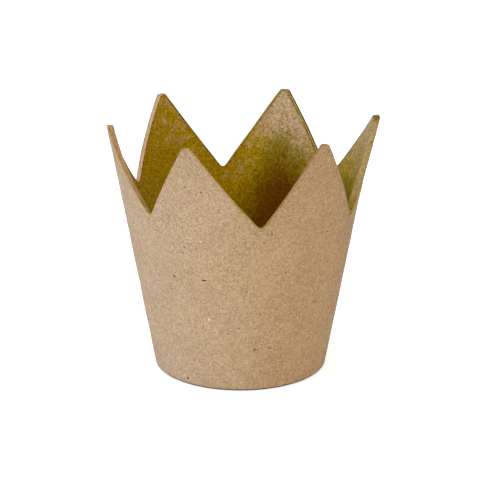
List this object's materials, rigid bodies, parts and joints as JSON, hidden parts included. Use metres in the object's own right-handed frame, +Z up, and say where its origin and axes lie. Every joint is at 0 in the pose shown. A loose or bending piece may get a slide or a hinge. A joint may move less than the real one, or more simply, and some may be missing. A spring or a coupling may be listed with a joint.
{
  "type": "papier-mache crown",
  "caption": "Flared, flat-bottomed crown of pressed kraft paper, open at the top, with a rim cut into pointed teeth.",
  "frame": {"origin": "centre of the flat underside", "axes": "+Z up along the crown's axis, -Y out through the front notch, +X to the right of someone who faces the front notch"},
  "size_m": [0.1298, 0.1189, 0.125],
  "materials": {
    "kraft_paper": "matte"
  },
  "bodies": {
    "root": {"crown": "kraft_paper"}
  },
  "joints": []
}
